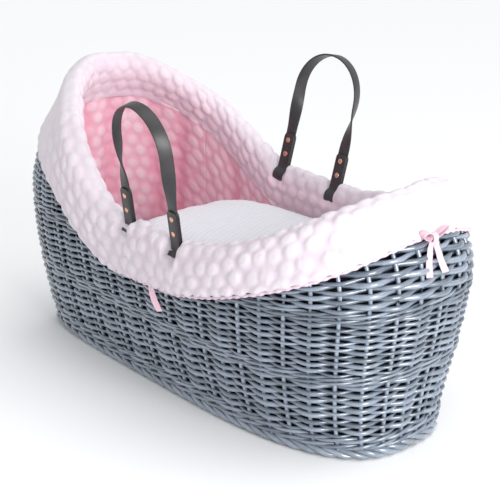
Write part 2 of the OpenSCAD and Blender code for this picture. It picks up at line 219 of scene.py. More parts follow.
def mesh_object(name, points, faces, smooth=True, **attributes):
    """Object from millimetre points, with one float attribute per named array."""
    mesh = bpy.data.meshes.new(name)
    mesh.from_pydata((np.asarray(points) * MM).tolist(), [], faces)
    mesh.update()
    for key, values in attributes.items():
        layer = mesh.attributes.new(key, "FLOAT", "POINT")
        layer.data.foreach_set("value", np.asarray(values, dtype=np.float32))
    if smooth:
        mesh.shade_smooth()
    made = bpy.data.objects.new(name, mesh)
    bpy.context.scene.collection.objects.link(made)
    return made


def grid_faces(rows, cols, wrap_rows, wrap_cols, start=0):
    i = np.arange(rows if wrap_rows else rows - 1)[:, None]
    j = np.arange(cols if wrap_cols else cols - 1)[None, :]
    a = i * cols + j
    b = ((i + 1) % rows) * cols + j
    c = ((i + 1) % rows) * cols + (j + 1) % cols
    d = i * cols + (j + 1) % cols
    quads = np.stack(np.broadcast_arrays(a, b, c, d), axis=-1).reshape(-1, 4) + start
    return quads.tolist()


def capped_faces(n, m):
    """Faces of a bar of n rings of m points, closed at both ends."""
    faces = grid_faces(n, m, False, True)
    faces.append(list(range(m)))
    faces.append(list(range(n * m - 1, (n - 1) * m - 1, -1)))
    return faces


class Bundle:
    """Collects many tubes into one mesh."""

    def __init__(self):
        self.points = []
        self.faces = []
        self.tone = []
        self.along = []
        self.count = 0

    def tube(self, path, tall, deep, sides, closed, tone):
        """A rod along path; tall and deep are its half sizes up and across the wall."""
        n = len(path)
        if closed:
            forward = np.roll(path, -1, axis=0) - np.roll(path, 1, axis=0)
        else:
            forward = np.gradient(path, axis=0)
        forward /= np.linalg.norm(forward, axis=1, keepdims=True)
        across = np.cross(forward, [0, 0, 1.0])
        across /= np.linalg.norm(across, axis=1, keepdims=True)
        up = np.cross(across, forward)
        turn = np.arange(sides) * 2 * math.pi / sides
        tall = np.broadcast_to(tall, n)[:, None, None]
        deep = np.broadcast_to(deep, n)[:, None, None]
        ring = (
            path[:, None, :]
            + deep * np.cos(turn)[None, :, None] * across[:, None, :]
            + tall * np.sin(turn)[None, :, None] * up[:, None, :]
        )
        self.points.append(ring.reshape(-1, 3))
        self.faces += grid_faces(n, sides, closed, True, self.count)
        if not closed:
            self.faces.append(list(range(self.count, self.count + sides)))
            last = self.count + (n - 1) * sides
            self.faces.append(list(range(last + sides - 1, last - 1, -1)))
        self.tone.append(np.full(n * sides, tone))
        run = np.concatenate([[0], np.cumsum(np.linalg.norm(np.diff(path, axis=0), axis=1))])
        self.along.append(np.repeat(run * MM, sides))
        self.count += n * sides

    def build(self, name):
        return mesh_object(
            name,
            np.concatenate(self.points),
            self.faces,
            tone=np.concatenate(self.tone),
            along=np.concatenate(self.along),
        )


def close_normals(obj):
    net = bmesh.new()
    net.from_mesh(obj.data)
    bmesh.ops.recalc_face_normals(net, faces=net.faces)
    net.to_mesh(obj.data)
    net.free()
    obj.data.shade_smooth()


# ---------------------------------------------------------------- shader groups

def new_group(name, inputs, outputs):
    group = bpy.data.node_groups.new(name, "ShaderNodeTree")
    for label, kind, value in inputs:
        socket = group.interface.new_socket(name=label, in_out="INPUT", socket_type=kind)
        socket.default_value = value
    for label, kind in outputs:
        group.interface.new_socket(name=label, in_out="OUTPUT", socket_type=kind)
    nodes = group.nodes
    return group, nodes, group.links, nodes.new("NodeGroupInput"), nodes.new("NodeGroupOutput")


def noise_node(nodes, links, where, scale, detail=3.0):
    node = nodes.new("ShaderNodeTexNoise")
    node.inputs["Detail"].default_value = detail
    node.inputs["Scale"].default_value = scale
    links.new(where, node.inputs["Vector"])
    return node


def math_node(nodes, links, kind, a, b):
    node = nodes.new("ShaderNodeMath")
    node.operation = kind
    for socket, value in zip(node.inputs, (a, b)):
        if isinstance(value, (int, float)):
            socket.default_value = value
        else:
            links.new(value, socket)
    return node.outputs[0]


def mix_colour(nodes, links, share, a, b):
    node = nodes.new("ShaderNodeMix")
    node.data_type = "RGBA"
    for key, value in ((0, share), (6, a), (7, b)):
        if isinstance(value, (int, float)):
            node.inputs[key].default_value = value
        elif isinstance(value, tuple):
            node.inputs[key].default_value = (*value, 1)
        else:
            links.new(value, node.inputs[key])
    return node.outputs[2]


def ramp_node(nodes, links, value, low, high):
    node = nodes.new("ShaderNodeMapRange")
    node.inputs["From Min"].default_value = low
    node.inputs["From Max"].default_value = high
    links.new(value, node.inputs["Value"])
    return node.outputs[0]


def painted_rod_group():
    """Brushed paint on willow: tone from rod to rod, streaks along it and bare wood where worn."""
    group, nodes, links, given, out = new_group(
        "brushed_paint",
        [
            ("Paint", "NodeSocketColor", (0.4, 0.4, 0.4, 1)),
            ("Thin Paint", "NodeSocketColor", (0.4, 0.4, 0.4, 1)),
            ("Bare Wood", "NodeSocketColor", (0.4, 0.3, 0.2, 1)),
            ("Wear", "NodeSocketFloat", 0.1),
        ],
        [("Color", "NodeSocketColor"), ("Roughness", "NodeSocketFloat"), ("Height", "NodeSocketFloat")],
    )
    place = nodes.new("ShaderNodeTexCoord").outputs["Object"]
    tone = nodes.new("ShaderNodeAttribute")
    tone.attribute_name = "tone"
    streak = noise_node(nodes, links, place, 90, 4)
    blotch = noise_node(nodes, links, place, 16, 3)
    knots = noise_node(nodes, links, place, 45, 2)
    share = math_node(nodes, links, "ADD", tone.outputs["Fac"], streak.outputs["Fac"])
    share = math_node(nodes, links, "ADD", share, blotch.outputs["Fac"])
    share = ramp_node(nodes, links, share, 1.1, 2.1)
    paint = mix_colour(nodes, links, share, given.outputs["Paint"], given.outputs["Thin Paint"])
    limit = math_node(nodes, links, "SUBTRACT", 0.86, given.outputs["Wear"])
    worn = math_node(nodes, links, "GREATER_THAN", knots.outputs["Fac"], limit)
    colour = mix_colour(nodes, links, worn, paint, given.outputs["Bare Wood"])
    rough = math_node(nodes, links, "MULTIPLY_ADD", streak.outputs["Fac"], 0.3)
    rough.node.inputs[2].default_value = 0.2
    links.new(colour, out.inputs["Color"])
    links.new(rough, out.inputs["Roughness"])
    height = math_node(nodes, links, "ADD", streak.outputs["Fac"], knots.outputs["Fac"])
    links.new(height, out.inputs["Height"])
    return group


def plush_group():
    """Dimple plush: pile paler on the bubbles and deeper in the creases as painted shade, with painted shade
    on its inner side and random pile tone.
    """
    group, nodes, links, given, out = new_group(
        "dimple_plush",
        [
            ("Top", "NodeSocketColor", (1, 1, 1, 1)),
            ("Crease", "NodeSocketColor", (1, 0.5, 0.6, 1)),
            ("Inner Side", "NodeSocketColor", (1, 0.5, 0.6, 1)),
            ("Depth", "NodeSocketFloat", 0.6),
            ("Pile Scale", "NodeSocketFloat", 500.0),
        ],
        [("Color", "NodeSocketColor"), ("Height", "NodeSocketFloat")],
    )
    place = nodes.new("ShaderNodeTexCoord").outputs["Object"]
    crease = nodes.new("ShaderNodeAttribute")
    crease.attribute_name = "crease"
    pile = nodes.new("ShaderNodeTexNoise")
    pile.inputs["Detail"].default_value = 3
    links.new(place, pile.inputs["Vector"])
    links.new(given.outputs["Pile Scale"], pile.inputs["Scale"])
    stroke = noise_node(nodes, links, place, 60, 3)
    # Painted shade: the crease attribute pulls the colour towards Crease Shade in creases and valleys; the
    # stroke noise adds random pile tone.
    share = math_node(nodes, links, "MULTIPLY", crease.outputs["Fac"], given.outputs["Depth"])
    ruffled = math_node(nodes, links, "MULTIPLY_ADD", stroke.outputs["Fac"], 0.3)
    ruffled.node.inputs[2].default_value = -0.15
    share = math_node(nodes, links, "ADD", share, ruffled)
    # Painted shade and reflected pink: the roll's inner side is mixed towards Inner Side Shade.
    inward = nodes.new("ShaderNodeAttribute")
    inward.attribute_name = "inward"
    top = mix_colour(nodes, links, inward.outputs["Fac"], given.outputs["Top"], given.outputs["Inner Side"])
    colour = mix_colour(nodes, links, share, top, given.outputs["Crease"])
    links.new(colour, out.inputs["Color"])
    height = math_node(nodes, links, "ADD", pile.outputs["Fac"], stroke.outputs["Fac"])
    links.new(height, out.inputs["Height"])
    return group


def fine_grain_group():
    """Small grain with slow variation, for leather, ribbon and wood."""
    group, nodes, links, given, out = new_group(
        "fine_grain",
        [
            ("Dark", "NodeSocketColor", (0.1, 0.1, 0.1, 1)),
            ("Light", "NodeSocketColor", (0.2, 0.2, 0.2, 1)),
            ("Scale", "NodeSocketFloat", 400.0),
            ("Slow Scale", "NodeSocketFloat", 20.0),
        ],
        [("Color", "NodeSocketColor"), ("Variation", "NodeSocketFloat"), ("Height", "NodeSocketFloat")],
    )
    place = nodes.new("ShaderNodeTexCoord").outputs["Object"]
    grain = nodes.new("ShaderNodeTexVoronoi")
    links.new(place, grain.inputs["Vector"])
    links.new(given.outputs["Scale"], grain.inputs["Scale"])
    slow = nodes.new("ShaderNodeTexNoise")
    links.new(place, slow.inputs["Vector"])
    links.new(given.outputs["Slow Scale"], slow.inputs["Scale"])
    share = math_node(nodes, links, "MULTIPLY_ADD", grain.outputs["Distance"], 0.5)
    links.new(slow.outputs["Fac"], share.node.inputs[2])
    share = ramp_node(nodes, links, share, 0.4, 1.0)
    colour = mix_colour(nodes, links, share, given.outputs["Dark"], given.outputs["Light"])
    links.new(colour, out.inputs["Color"])
    links.new(slow.outputs["Fac"], out.inputs["Variation"])
    links.new(grain.outputs["Distance"], out.inputs["Height"])
    return group


GROUPS = {"rod": painted_rod_group(), "plush": plush_group(), "grain": fine_grain_group()}


def material(name, group, sockets, bump, **principled):
    """A material whose colour and relief come from one of the groups."""
    made = bpy.data.materials.new(name)
    made.use_nodes = True
    nodes = made.node_tree.nodes
    links = made.node_tree.links
    shader = nodes["Principled BSDF"]
    place = nodes.new("ShaderNodeGroup")
    place.node_tree = GROUPS[group]
    for key, value in sockets.items():
        place.inputs[key].default_value = value if isinstance(value, (int, float)) else (*value, 1)
    links.new(place.outputs["Color"], shader.inputs["Base Color"])
    if "Roughness" in place.outputs and "Roughness" not in principled:
        links.new(place.outputs["Roughness"], shader.inputs["Roughness"])
    relief = nodes.new("ShaderNodeBump")
    relief.inputs["Strength"].default_value = bump[0]
    relief.inputs["Distance"].default_value = bump[1]
    links.new(place.outputs["Height"], relief.inputs["Height"])
    links.new(relief.outputs["Normal"], shader.inputs["Normal"])
    for key, value in principled.items():
        socket = shader.inputs[key.replace("_", " ")]
        socket.default_value = (*value, 1) if isinstance(value, tuple) else value
    return made


PAINTED_WILLOW = material(
    "painted_willow",
    "rod",
    {
        "Paint": (0.082, 0.11, 0.15),
        "Thin Paint": (0.245, 0.295, 0.37),
        "Bare Wood": (0.16, 0.13, 0.11),
        "Wear": 0.05,
    },
    (0.3, 0.001),
    Coat_Weight=1.0,
    Coat_IOR=1.75,
    Coat_Roughness=0.2,
    Specular_IOR_Level=0.8,
)
BORDER_WILLOW = material(
    "border_willow",
    "rod",
    {
        "Paint": (0.09, 0.118, 0.155),
        "Thin Paint": (0.26, 0.31, 0.38),
        "Bare Wood": (0.24, 0.17, 0.12),
        "Wear": 0.14,
    },
    (0.3, 0.001),
    Coat_Weight=1.0,
    Coat_IOR=1.75,
    Coat_Roughness=0.2,
    Specular_IOR_Level=0.8,
)
HEM_PLUSH = material(
    "hem_plush",
    "plush",
    {
        "Top": (0.76, 0.64, 0.71),
        "Crease": (0.64, 0.42, 0.53),
        "Inner Side": (0.76, 0.64, 0.71),
        "Depth": 0.6,
        "Pile Scale": 700,
    },
    (0.5, 0.0015),
    Roughness=0.95,
    Specular_IOR_Level=0.1,
)
# Painted shade: a near-black cloth on the rear faces of the lining and roll, standing for the shade seen
# through the gaps of the weave.
PAINTED_SHADE_CLOTH = material(
    "painted_shade_cloth",
    "grain",
    {"Dark": (0.012, 0.012, 0.015), "Light": (0.022, 0.022, 0.027), "Scale": 900, "Slow Scale": 30},
    (0.1, 0.0003),
    Roughness=0.95,
    Specular_IOR_Level=0.05,
)
# Painted light and shade: the roll and the lining are one pink plush; the roll's pale colour is painted
# light, the lining's deeper pink is painted shade and reflected pink.
LIT_COPY_PLUSH = material(
    "pale_plush",
    "plush",
    {
        "Top": (0.735, 0.68, 0.725),
        "Crease": (0.66, 0.53, 0.625),
        "Inner Side": (0.85, 0.645, 0.71),
        "Depth": 0.5,
        "Pile Scale": 700,
    },
    (0.5, 0.0015),
    Roughness=0.95,
    Sheen_Weight=0.3,
    Sheen_Roughness=0.6,
    Sheen_Tint=(1.0, 0.95, 0.98),
    Specular_IOR_Level=0.1,
)
SHADED_COPY_PLUSH = material(
    "pink_plush",
    "plush",
    {
        "Top": (0.9, 0.68, 0.745),
        "Crease": (0.86, 0.42, 0.53),
        "Inner Side": (0.9, 0.68, 0.745),
        "Depth": 0.7,
        "Pile Scale": 700,
    },
    (0.5, 0.0015),
    Roughness=0.95,
    Sheen_Weight=0.25,
    Sheen_Roughness=0.6,
    Sheen_Tint=(1.0, 0.9, 0.95),
    Specular_IOR_Level=0.1,
)
FLEECE = material(
    "ribbed_fleece",
    "plush",
    {
        "Top": (0.78, 0.78, 0.82),
        "Crease": (0.62, 0.62, 0.7),
        "Inner Side": (0.78, 0.78, 0.82),
        "Depth": 0.6,
        "Pile Scale": 900,
    },
    (0.35, 0.001),
    Roughness=0.9,
    Sheen_Weight=0.4,
    Sheen_Roughness=0.6,
    Specular_IOR_Level=0.1,
)
RIBBON = material(
    "satin_ribbon",
    "grain",
    {"Dark": (0.68, 0.42, 0.5), "Light": (0.8, 0.56, 0.64), "Scale": 1400, "Slow Scale": 30},
    (0.2, 0.0004),
    Roughness=0.42,
    Sheen_Weight=0.3,
)
LEATHER = material(
    "dark_leather",
    "grain",
    {"Dark": (0.012, 0.011, 0.012), "Light": (0.03, 0.027, 0.03), "Scale": 900, "Slow Scale": 25},
    (0.25, 0.0004),
    Roughness=0.42,
    Coat_Weight=0.2,
    Coat_Roughness=0.35,
)
LEATHER_EDGE = material(
    "leather_edge",
    "grain",
    {"Dark": (0.012, 0.011, 0.012), "Light": (0.03, 0.027, 0.03), "Scale": 1200, "Slow Scale": 60},
    (0.3, 0.0004),
    Roughness=0.6,
)
# Painted reflection: the copper tint stands for the pink dressing reflected in polished nickel rivets.
PINK_REFLECTION_METAL = material(
    "copper_rivet",
    "grain",
    {"Dark": (0.62, 0.3, 0.2), "Light": (0.8, 0.46, 0.34), "Scale": 500, "Slow Scale": 120},
    (0.1, 0.0002),
    Roughness=0.24,
    Metallic=1.0,
)
BOARD = material(
    "bare_board",
    "grain",
    {"Dark": (0.36, 0.25, 0.15), "Light": (0.55, 0.4, 0.26), "Scale": 120, "Slow Scale": 12},
    (0.2, 0.0006),
    Roughness=0.6,
)


def paint_rear_shade(obj, columns, first, last):
    """Gives the faces of a grid between two of its columns the near-black painted shade, seen as shade
    through the weave.
    """
    obj.data.materials.append(PAINTED_SHADE_CLOTH)
    for k, face in enumerate(obj.data.polygons):
        if first <= k % columns < last:
            face.material_index = 1


def piece(obj, body, finish, slot, *nodes):
    obj.data.materials.clear()
    obj.data.materials.append(finish)
    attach(obj, body)
    if nodes:
        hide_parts(*nodes)
    return obj


# ---------------------------------------------------------------- wicker

PER_STAKE = 8
# How far a rod swings to either side of the wall's middle, and how far it strays from its line
SWING = 5.6
STRAY = 0.3
# Height of a pair's two rods, as shares of the pair's pitch
THIN_PLACE = 0.24
THICK_PLACE = 0.74
round_places = np.arange(STAKES * PER_STAKE) / PER_STAKE


def wander(n, amount, closed=True, cells=40):
    """Slow irregularity along a rod."""
    knots = chance.normal(0, amount, cells)
    if closed:
        knots = np.append(knots, knots[0])
        return np.interp(np.linspace(0, cells, n, endpoint=False), np.arange(cells + 1), knots)
    return np.interp(np.linspace(0, cells - 1, n), np.arange(cells), knots)


def woven_band(name, node, low, high, pairs, thin, thick):
    """Plain weave: thin rods pass in front of every even stake, thick rods of every odd one."""
    rods = Bundle()
    pitch = (high - low) / pairs
    for k in range(2 * pairs):
        odd = k % 2
        r = thick if odd else thin
        swing = np.cos(math.pi * round_places) * (-1 if odd else 1)
        depth = WALL / 2 - SWING * swing + wander(len(round_places), STRAY)
        middle = low + pitch * (k // 2 + (THICK_PLACE if odd else THIN_PLACE))
        z = middle + wander(len(round_places), 0.45)
        radius = r * (1 + wander(len(round_places), 0.05))
        path = wall_point(z, angle_of(round_places), depth)
        rods.tube(path, radius, radius * 0.95, 7, True, chance.uniform(0, 1))
    return piece(rods.build(name), "basket", PAINTED_WILLOW, "painted_willow", node)


def waled_band(name, node, low, high, rows, r):
    """Rows of three rods, each in front of two stakes and behind the next."""
    rods = Bundle()
    pitch = (high - low) / rows
    for row in range(rows):
        for k in range(3):
            turn = 2 * math.pi * (round_places - k) / 3
            # the whole number of turns keeps the rods closed where the stakes are not a multiple of 3
            turn *= round(STAKES / 3) * 3 / STAKES
            depth = WALL / 2 - 1.0 - 5.4 * np.cos(turn)
            z = low + pitch * (row + 0.5) + 0.3 * pitch * np.sin(turn + 0.6) + wander(len(turn), STRAY)
            path = wall_point(z, angle_of(round_places), depth)
            rods.tube(path, r, r, 7, True, chance.uniform(0, 1))
    return piece(rods.build(name), "basket", PAINTED_WILLOW, "painted_willow", node)


def fan_band(name, node, start, end, rows, least, most_r):
    """Rows above the upper wale that fan out up to the rim between two places."""
    rods = Bundle()
    places = np.arange(math.ceil(start * PER_STAKE), math.floor(end * PER_STAKE) + 1) / PER_STAKE
    a = angle_of(places)
    top = rim_at(a) - BORDER_R
    room = top - PACKING_START
    pitch = np.maximum(least, room / rows)
    for k in range(2 * rows):
        odd = k % 2
        height = pitch * (k // 2 + (THICK_PLACE if odd else THIN_PLACE))
        inside = height < room + 2
        runs = np.flatnonzero(np.diff(np.concatenate([[0], inside.astype(int), [0]])))
        for first, last in zip(runs[::2], runs[1::2]):
            if last - first < PER_STAKE:
                continue
            keep = slice(first, last)
            along_row = places[keep]
            n = len(along_row)
            swing = np.cos(math.pi * along_row) * (-1 if odd else 1)
            depth = WALL / 2 - SWING * swing + wander(n, STRAY, False, 12)
            z = PACKING_START + height[keep] + wander(n, 0.5, False, 12)
            thickness = np.minimum(most_r, pitch[keep] * (0.3 if odd else 0.24))
            taper = np.minimum(1, 0.35 + np.minimum(np.arange(n), np.arange(n)[::-1]) / 10)
            radius = thickness * taper
            rods.tube(wall_point(z, a[keep], depth), radius, radius, 7, False, chance.uniform(0, 1))
    return piece(rods.build(name), "basket", PAINTED_WILLOW, "painted_willow", node)


def twisted_border(name, node, strands, r, twist_r, turns, centre_z, inset, count, finish):
    """Rods twisted round each other along the wall; centre_z is a height or the rim's heights."""
    rods = Bundle()
    places = np.arange(count) * STAKES / count
    a = angle_of(places)
    for k in range(strands):
        turn = 2 * math.pi * (places / STAKES * turns + k / strands)
        z = centre_z(a) + twist_r * np.sin(turn)
        path = wall_point(z, a, inset + twist_r * np.cos(turn))
        rods.tube(path, r, r, 8, True, chance.uniform(0, 1))
    return piece(rods.build(name), "basket", finish, "painted_willow", node)


def place_at(angle_deg):
    """Place in stakes of an angle."""
    run = np.interp(math.radians(angle_deg % 360), fine, fine_run)
    return run / fine_run[-1] * STAKES - FIRST_STAKE


twisted_border(
    "foot_border_rods",
    "foot_border",
    3,
    4.3,
    4.8,
    24,
    lambda a: FOOT_BORDER_R + 2.2,
    5.5,
    1200,
    BORDER_WILLOW,
)
waled_band("bottom_wale_rods", "bottom_wale", 15, BOTTOM_WALE_TOP, 2, 3.0)
woven_band("lower_rods", "lower_weave", BOTTOM_WALE_TOP, LOWER_WEAVE_TOP, 7, 2.5, 4.0)
waled_band("middle_wale_rods", "middle_wale", LOWER_WEAVE_TOP, LOWER_WEAVE_TOP + WALE_HEIGHT, 2, 2.4)
woven_band("upper_rods", "upper_weave", LOWER_WEAVE_TOP + WALE_HEIGHT, UPPER_WEAVE_TOP, 8, 2.1, 3.4)
waled_band("upper_wale_rods", "upper_wale", UPPER_WEAVE_TOP, PACKING_START, 2, 2.4)
foot_edge = place_at(SIDE_START)
head_edge = place_at(180 - SIDE_START)
fan_band("foot_packing_rods", "foot_packing", -foot_edge - 1, foot_edge, 7, 9, 5.0)
fan_band("far_side_rods", "far_side_rows", foot_edge, head_edge, 9, 9, 4.0)
fan_band("hood_rods", "hood_weave", head_edge, STAKES - head_edge - 1, 16, 9, 3.8)
fan_band("near_side_rods", "near_side_rows", STAKES - head_edge - 1, STAKES - foot_edge - 1, 9, 9, 4.0)
twisted_border("rim_border_rods", "rim_border", 3, 3.6, 3.8, 26, rim_at, BORDER_INSET, 900, PAINTED_WILLOW)

stake_rods = Bundle()
for k in range(STAKES):
    a = float(angle_of(k))
    z = np.linspace(FOOT_BORDER_R, float(rim_at(np.array(a))), 26)
    stake_path = wall_point(z, a, WALL / 2 - 1.6)
    stake_rods.tube(stake_path, 3.3, 3.3, 8, False, chance.uniform(0.7, 1.3))
piece(stake_rods.build("stake_rods"), "basket", PAINTED_WILLOW, "painted_willow", "stakes")

board = frame["nodes"]["base_board"]
board.data.materials.clear()
board.data.materials.append(BOARD)


# ---------------------------------------------------------------- dimple plush

def bubbles(s, w, girth, pitch):
    """Height, 0 to 1, of a jittered net of soft bubbles at s along the basket and w across."""
    cols = round(girth / pitch)
    p = girth / cols
    row_height = p * 0.866
    row0 = np.floor(w / row_height)
    nearest = np.full(s.shape, 1e9)
    fullness = np.zeros(s.shape)
    for dr in (-1, 0, 1, 2):
        row = row0 + dr
        shift = 0.5 * np.mod(row, 2)
        col0 = np.floor(s / p - shift)
        for dc in (-1, 0, 1, 2):
            col = col0 + dc
            key = np.mod(col, cols) * 12.9898 + row * 78.233
            jitter_s = np.mod(np.sin(key) * 43758.5453, 1) - 0.5
            jitter_w = np.mod(np.sin(key + 4.1) * 23421.631, 1) - 0.5
            away = np.hypot(s - (col + shift + 0.34 * jitter_s) * p, w - (row + 0.34 * jitter_w) * row_height)
            closer = away < nearest
            fullness = np.where(closer, np.mod(np.sin(key + 8.3) * 15731.7, 1), fullness)
            nearest = np.where(closer, away, nearest)
    disc = ease((0.54 * p - nearest) / (0.34 * p))
    return disc * (0.55 + 0.45 * fullness)


def grid_normals(points, wrap_rows):
    if wrap_rows:
        along = np.roll(points, -1, axis=0) - np.roll(points, 1, axis=0)
    else:
        along = np.gradient(points, axis=0)
    normal = np.cross(along, np.gradient(points, axis=1))
    return normal / np.maximum(1e-9, np.linalg.norm(normal, axis=2, keepdims=True))


def resample(lines, count):
    """Each polyline of lines, rounded at its corners and cut into even steps."""
    for _ in range(3):
        a = lines[:, :-1] * 0.75 + lines[:, 1:] * 0.25
        b = lines[:, :-1] * 0.25 + lines[:, 1:] * 0.75
        middle = np.stack([a, b], axis=2).reshape(len(lines), -1, 3)
        lines = np.concatenate([lines[:, :1], middle, lines[:, -1:]], axis=1)
    made = np.empty((len(lines), count, 3))
    lengths = np.empty(len(lines))
    for i, line in enumerate(lines):
        run = np.concatenate([[0], np.cumsum(np.linalg.norm(np.diff(line, axis=0), axis=1))])
        lengths[i] = run[-1]
        even = np.linspace(0, run[-1], count)
        for axis in range(3):
            made[i, :, axis] = np.interp(even, run, line[:, axis])
    return made, lengths


# Distance between the plush's bubbles
BUBBLE = 27
ROLL_STEPS = 720
roll_places = np.arange(ROLL_STEPS) * STAKES / ROLL_STEPS
roll_angles = angle_of(roll_places)
roll_rim = rim_at(roll_angles)
rim_line = wall_point(roll_rim, roll_angles, BORDER_INSET)
GIRTH = float(np.linalg.norm(np.roll(rim_line, -1, axis=0) - rim_line, axis=1).sum())
rim_run = np.concatenate([[0], np.cumsum(np.linalg.norm(np.diff(rim_line, axis=0), axis=1))])


def at_rim(entries):
    """Section points beside the border, each an inset and a height above the rim."""
    out = []
    for inset, lift in entries:
        p = wall_point(roll_rim, roll_angles, inset)
        p[:, 2] += lift
        out.append(p)
    return out


def loop_ends(middle, side):
    """The two ends of a handle's hinge line on the border."""
    ends = []
    for x in (middle - LOOP_SPACING / 2, middle + LOOP_SPACING / 2):
        pick = np.flatnonzero(np.sign(rim_line[:, 1]) == side)
        order = pick[np.argsort(rim_line[pick, 0])]
        ends.append(np.array([np.interp(x, rim_line[order, 0], rim_line[order, k]) for k in range(3)]))
    return ends


# Place of each handle's middle along the basket, and its side
HANDLES = {"near": (32, -1), "far": (-13, 1)}
loop_places = {key: loop_ends(*value) for key, value in HANDLES.items()}
all_loops = [p for pair in loop_places.values() for p in pair]

roll_face = -CLOTH_GAP - ROLL_THICKNESS
roll_hem = roll_rim - skirt_at(roll_angles)
roll_low = roll_rim - ROLL_INSIDE
outside = [
    wall_point(roll_hem + 1, roll_angles, -CLOTH_GAP),
    wall_point(roll_hem + 2, roll_angles, -CLOTH_GAP - 0.7 * ROLL_THICKNESS),
    wall_point(roll_hem + 12, roll_angles, roll_face),
    wall_point((roll_hem + roll_rim) / 2, roll_angles, roll_face),
    wall_point(roll_rim - 4, roll_angles, roll_face),
]
over = at_rim([(-CLOTH_GAP - 0.55 * ROLL_THICKNESS, 18.3), (6, 25.8), (18, 25.8), (27.4, 16.8), (31, -10)])
inside = [
    wall_point(roll_low + 20, roll_angles, 29.8),
    wall_point(roll_low + 4, roll_angles, 28.4),
    wall_point(roll_low - 1, roll_angles, 24),
]
outer_skin, outer_length = resample(np.stack(outside + over + inside, axis=1), 72)
back = [wall_point(roll_low + 4, roll_angles, 16.4), wall_point(roll_rim - 22, roll_angles, 16.4)]
back += at_rim([(12 + RIM_COVER, -6), (12 + RIM_COVER, 5), (12, RIM_COVER), (12 - RIM_COVER, 5)])
back += [
    wall_point(roll_rim - 9, roll_angles, -1.3),
    wall_point((roll_hem + roll_rim) / 2, roll_angles, -1.3),
]
inner_skin, _ = resample(np.stack(back, axis=1), 22)

crest = np.argmax(outer_skin[:, :, 2], axis=1)
step_length = outer_length / (outer_skin.shape[1] - 1)
across = (np.arange(outer_skin.shape[1])[None, :] - crest[:, None]) * step_length[:, None]
along = np.broadcast_to(rim_run[:, None], across.shape)
normals = grid_normals(outer_skin, True)
outward = outer_skin[:, 20] - inner_skin[:, -3]
if (normals[:, 20] * outward).sum() < 0:
    normals = -normals
raised = bubbles(along, across + 300, GIRTH, BUBBLE)
from_hem = np.arange(outer_skin.shape[1])[None, :] * step_length[:, None]
near_hem = np.exp(-((from_hem / 16) ** 2))
gather = np.sin(along / GIRTH * 2 * math.pi * 96 + 1.7 * np.sin(along / 60)) * near_hem
slow = np.sin(along / 47 + 0.6 * np.sin(across / 31)) + 0.7 * np.sin(along / 83 + across / 29 + 1.3)
hood_share = ease((-170 - rim_line[:, 0]) / 120)[:, None]
pleats = np.sin(along / 24 + 2.6 * np.sin(along / 90) + across / 45)
pleats = -np.maximum(0, pleats - 0.55) / 0.45 * hood_share * ease((across - 6) / 30)
flatter = 1 - 0.8 * hood_share * ease((22 - across) / 30) - 0.35 * ease((rim_line[:, 0] - 330) / 60)[:, None]
puff = 4.0 * (raised - 0.45) * (1 - 0.75 * near_hem) * flatter
puff = puff + 1.6 * slow * (1 - near_hem) + 1.9 * gather + 3 * pleats
wrinkles = np.sin(along / 19 + across / 26 + 2 * np.sin(along / 53))
puff = puff + 1.3 * hood_share * wrinkles * (1 - near_hem)
puff = puff * (0.25 + 0.75 * ease((outer_length[:, None] - from_hem) / 26))
roll_skin = outer_skin + normals * puff[:, :, None]

# The roll is sunk down onto the border across its crest where the loops of the handles come through
SLIT_HALF_WIDTH = 14.2
SLIT_HALF_LENGTH = 38
slit = np.zeros(across.shape)
for place in all_loops:
    flat = np.linalg.norm(rim_line - place, axis=1)[:, None]
    beside = 1 - ease((flat - SLIT_HALF_WIDTH) / 3.5)
    slit = np.maximum(slit, beside * (1 - ease((np.abs(across) - SLIT_HALF_LENGTH) / 12)))
core = rim_line[:, None, :]
reach = outer_skin - core
distance = np.maximum(1e-6, np.linalg.norm(reach, axis=2, keepdims=True))
sunk = core + reach / distance * (RIM_COVER + 1.5)
roll_skin = roll_skin * (1 - slit[:, :, None]) + sunk * slit[:, :, None]
# Painted shade: darker between the bubbles, in the pleats and near the hem where the roll tucks under.
roll_crease = clamp01((1 - raised) * flatter + 0.35 * near_hem - pleats * 0.9)

loop_grid = np.concatenate([roll_skin, inner_skin], axis=1)
rows, cols = loop_grid.shape[:2]
roll_shade_tint = np.concatenate([roll_crease, np.ones(inner_skin.shape[:2])], axis=1)
# Painted shade and reflected pink: beyond its crest the roll's inner side is coloured deeper pink.
inward = np.concatenate([ease((across - 5) / 45), np.ones(inner_skin.shape[:2])], axis=1)
roll = mesh_object(
    "rim_roll_plush",
    loop_grid.reshape(-1, 3),
    grid_faces(rows, cols, True, True),
    crease=roll_shade_tint.reshape(-1),
    inward=inward.reshape(-1),
)
close_normals(roll)
piece(roll, "basket", LIT_COPY_PLUSH, "pale_plush", "rim_roll")
paint_rear_shade(roll, cols, outer_skin.shape[1], cols - 1)


# Average distance between two columns of a lining panel's mesh
COLUMN_STEP = 3.5


